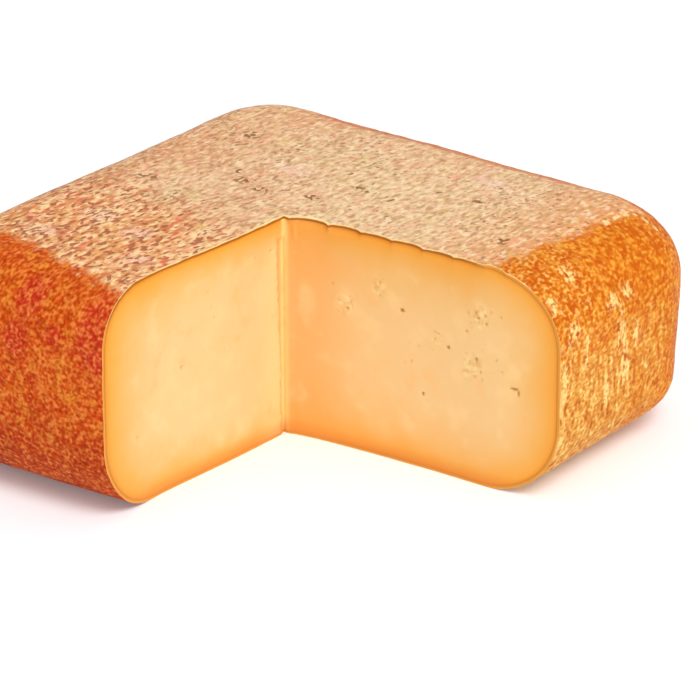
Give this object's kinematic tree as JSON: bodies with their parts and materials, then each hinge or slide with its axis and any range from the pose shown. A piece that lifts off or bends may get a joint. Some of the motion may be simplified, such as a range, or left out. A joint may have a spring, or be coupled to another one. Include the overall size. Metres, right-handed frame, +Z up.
{
  "type": "mahon cheese",
  "caption": "Square pressed block of mahon cheese with rounded edges and an orange rind, with one corner portion cut out to show the pale paste.",
  "frame": {"origin": "centre of the block's bounding box, on its flat base", "axes": "+Z up from the base; the cut-out is at the +X, -Y corner; +X faces the shorter side that the cut-out leaves on the right, -Y the one on the left"},
  "size_m": [0.192, 0.1905, 0.076],
  "materials": {
    "rind": "satin",
    "paste": "satin"
  },
  "bodies": {
    "root": {"cheese_block": "rind"}
  },
  "joints": []
}
